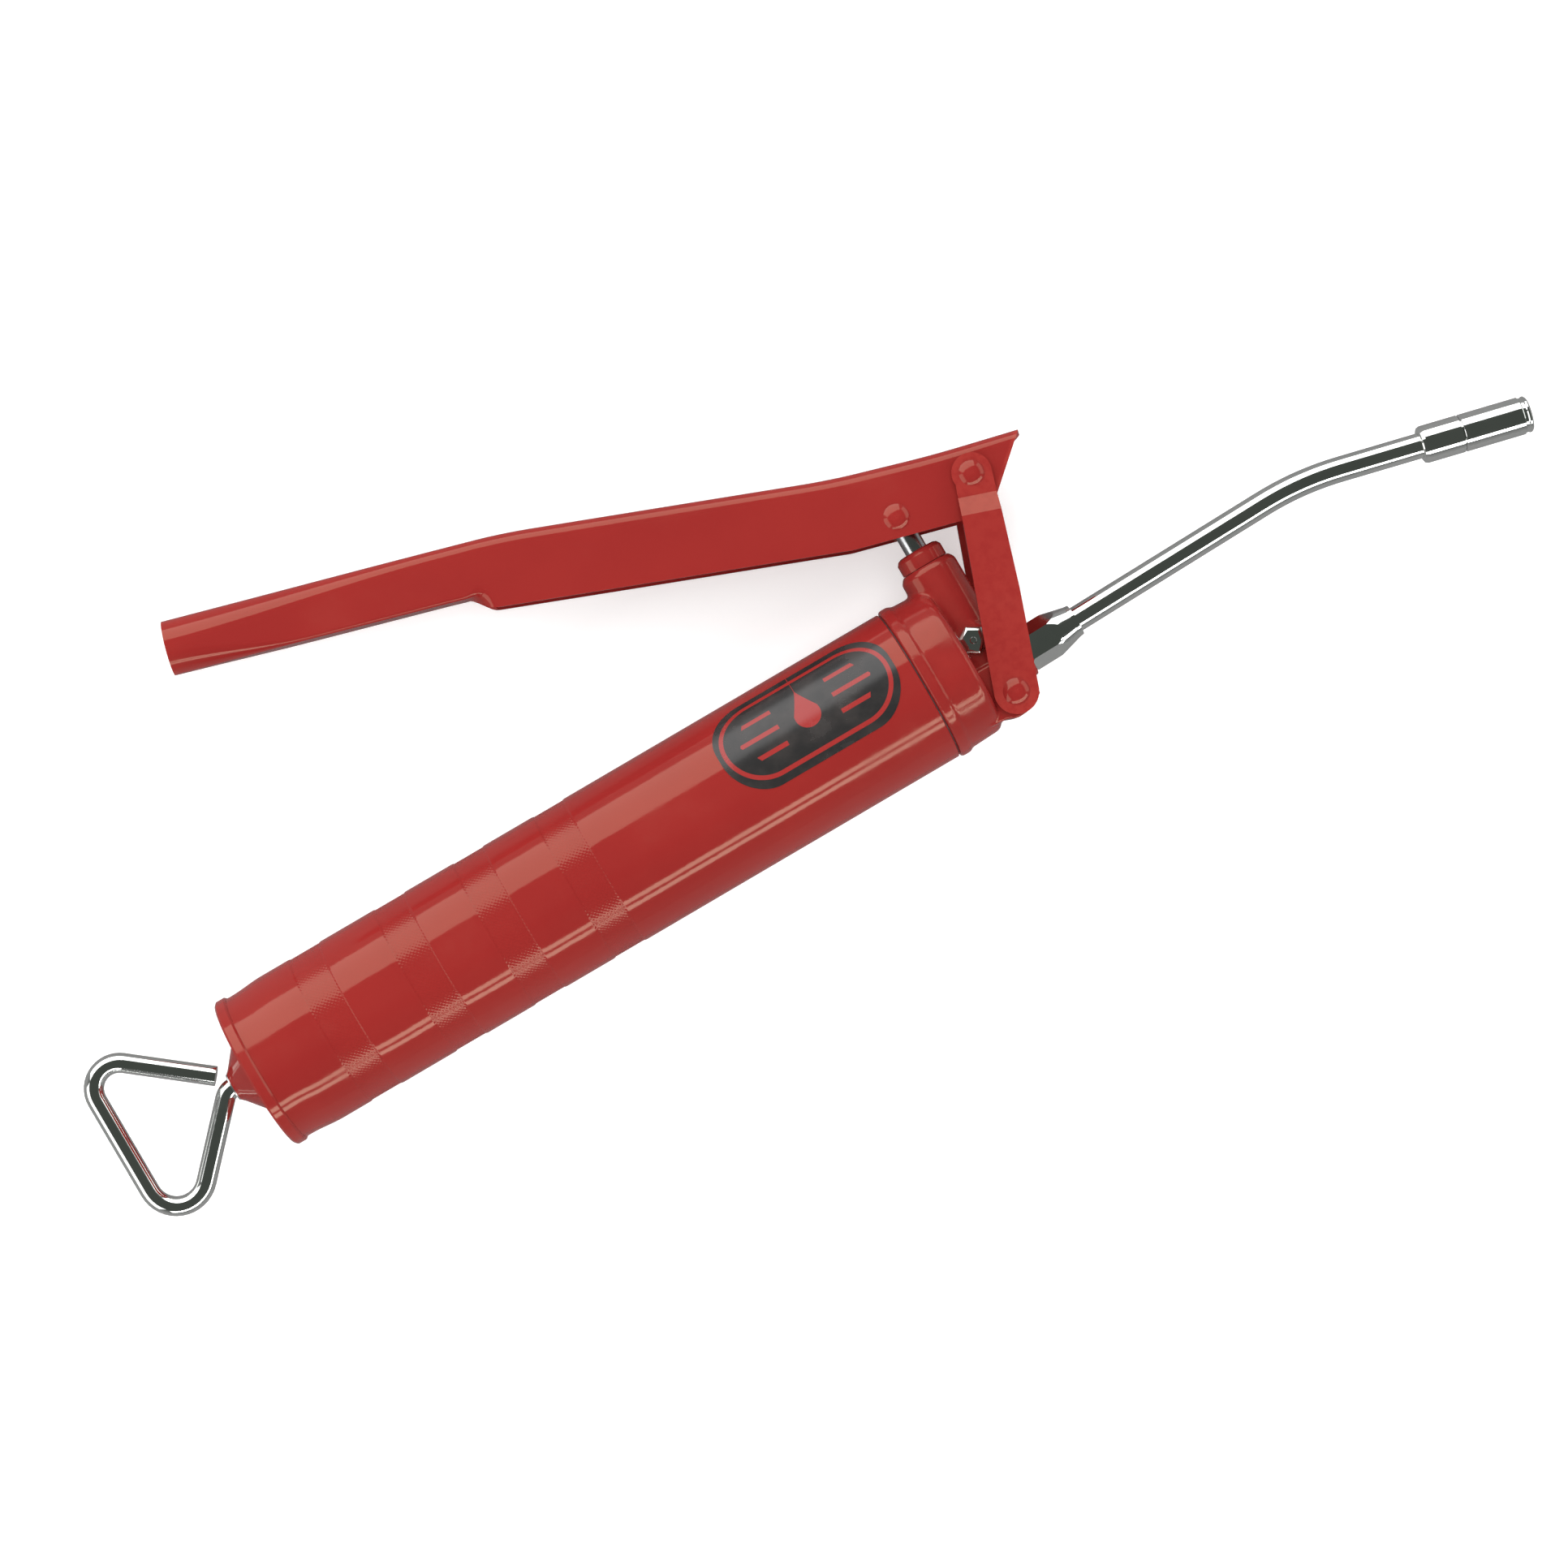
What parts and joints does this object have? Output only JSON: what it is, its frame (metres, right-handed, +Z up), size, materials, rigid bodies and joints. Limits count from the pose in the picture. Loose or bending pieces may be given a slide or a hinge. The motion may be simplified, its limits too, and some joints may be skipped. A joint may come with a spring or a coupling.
{
  "type": "grease gun",
  "caption": "Lever-action cartridge grease gun: pivoted lever pumps grease from a spring-loaded barrel through a rigid bent pipe to a jawed nipple coupler.",
  "frame": {"origin": "centre of the base of the bounding box, on the surface that the gun lies on", "axes": "+X along the barrel towards the nozzle, +Y towards the lever, +Z up; the gun lies on its side, rolled 7.8 degrees so that the round barrel and the end of the handle both touch the surface"},
  "size_m": [0.5528, 0.1816, 0.0579],
  "materials": {
    "red_paint": "glossy baked enamel with a faint ripple",
    "chrome_plate": "bright nickel-chrome plate",
    "bright_steel": "ground and lightly oiled",
    "spring_steel": "drawn wire, lightly oiled",
    "zinc_plate": "clear zinc plate",
    "black_rubber": "matt, moulded",
    "label_ink": "black printed film with red marks"
  },
  "bodies": {
    "head": {"head_casting": "red_paint", "gland_nut": "red_paint", "plunger_packing": "black_rubber", "outlet_adapter": "chrome_plate", "extension_pipe": "chrome_plate", "coupler_body": "chrome_plate", "coupler_cap": "chrome_plate", "coupler_spring": "spring_steel", "bleeder_body": "chrome_plate", "bleeder_spring": "spring_steel", "check_spring": "spring_steel"},
    "links": {"link_plate_near": "red_paint", "link_plate_far": "red_paint", "link_pin": "red_paint", "lever_pin": "red_paint"},
    "lever": {"lever": "red_paint", "plunger_pin": "red_paint"},
    "plunger": {"plunger": "bright_steel"},
    "check_ball": {"check_ball": "bright_steel"},
    "bleeder_button": {"bleeder_pin": "chrome_plate"},
    "jaws": {"coupler_jaws": "bright_steel", "coupler_seal": "black_rubber"},
    "gasket": {"barrel_gasket": "black_rubber"},
    "barrel": {"barrel_tube": "red_paint", "end_cap": "red_paint", "rod_bush": "zinc_plate", "barrel_label": "label_ink", "follower_spring": "spring_steel"},
    "follower": {"follower_cup": "black_rubber", "follower_front_plate": "zinc_plate", "follower_back_plate": "zinc_plate"},
    "rod": {"follower_rod": "chrome_plate", "rod_washer": "zinc_plate", "rod_nut": "zinc_plate"}
  },
  "joints": [
    {"name": "link_swing", "type": "hinge", "parent": "head", "child": "links", "pos_m": [0.07098, -0.07769, 0.0315], "axis": [0, 0.1357, 0.9907], "range_deg": [-0.7, 2.8]},
    {"name": "lever_swing", "type": "hinge", "parent": "links", "child": "lever", "pos_m": [0.09598, -0.00577, 0.02165], "axis": [0, 0.1357, 0.9907], "range_deg": [-34, 8]},
    {"name": "plunger_slide", "type": "slide", "parent": "head", "child": "plunger", "axis": [0, 0.9907, -0.1357], "range_m": [-0.004, 0.017]},
    {"name": "check_ball_lift", "type": "slide", "parent": "head", "child": "check_ball", "axis": [0.9997, 0.024, -0.0033], "range_m": [0, 0.0015], "stiffness_N_per_m": 300, "springref_m": -0.001, "deforming": ["check_spring"]},
    {"name": "bleeder_press", "type": "slide", "parent": "head", "child": "bleeder_button", "axis": [0, -0.1357, -0.9907], "range_m": [0, 0.001], "stiffness_N_per_m": 1500, "springref_m": -0.0015, "deforming": ["bleeder_spring"]},
    {"name": "jaw_slide", "type": "slide", "parent": "head", "child": "jaws", "axis": [-0.9707, 0.2382, -0.0326], "range_m": [0, 0.0015], "stiffness_N_per_m": 2000, "springref_m": -0.002, "deforming": ["coupler_spring"]},
    {"name": "gasket_back", "type": "slide", "parent": "head", "child": "gasket", "axis": [-1, 0, 0], "range_m": [0, 0.006]},
    {"name": "barrel_unscrew", "type": "hinge", "parent": "gasket", "child": "barrel", "pos_m": [0.04578, -0.05907, 0.02895], "axis": [-1, 0, 0], "range_deg": [0, 1440]},
    {"name": "follower_pull", "type": "slide", "parent": "barrel", "child": "follower", "axis": [-1, 0, 0], "range_m": [0, 0.195], "stiffness_N_per_m": 350, "springref_m": -0.12, "deforming": ["follower_spring"]},
    {"name": "rod_turn", "type": "hinge", "parent": "follower", "child": "rod", "pos_m": [0.04578, -0.05907, 0.02895], "axis": [1, 0, 0], "continuous": true}
  ],
  "couplings": [
    {"joint": "link_swing", "follows": "lever_swing", "ratio": -0.08},
    {"joint": "plunger_slide", "follows": "lever_swing", "m_per_rad": -0.02829},
    {"joint": "gasket_back", "follows": "barrel_unscrew", "m_per_rad": 0.00023873}
  ]
}
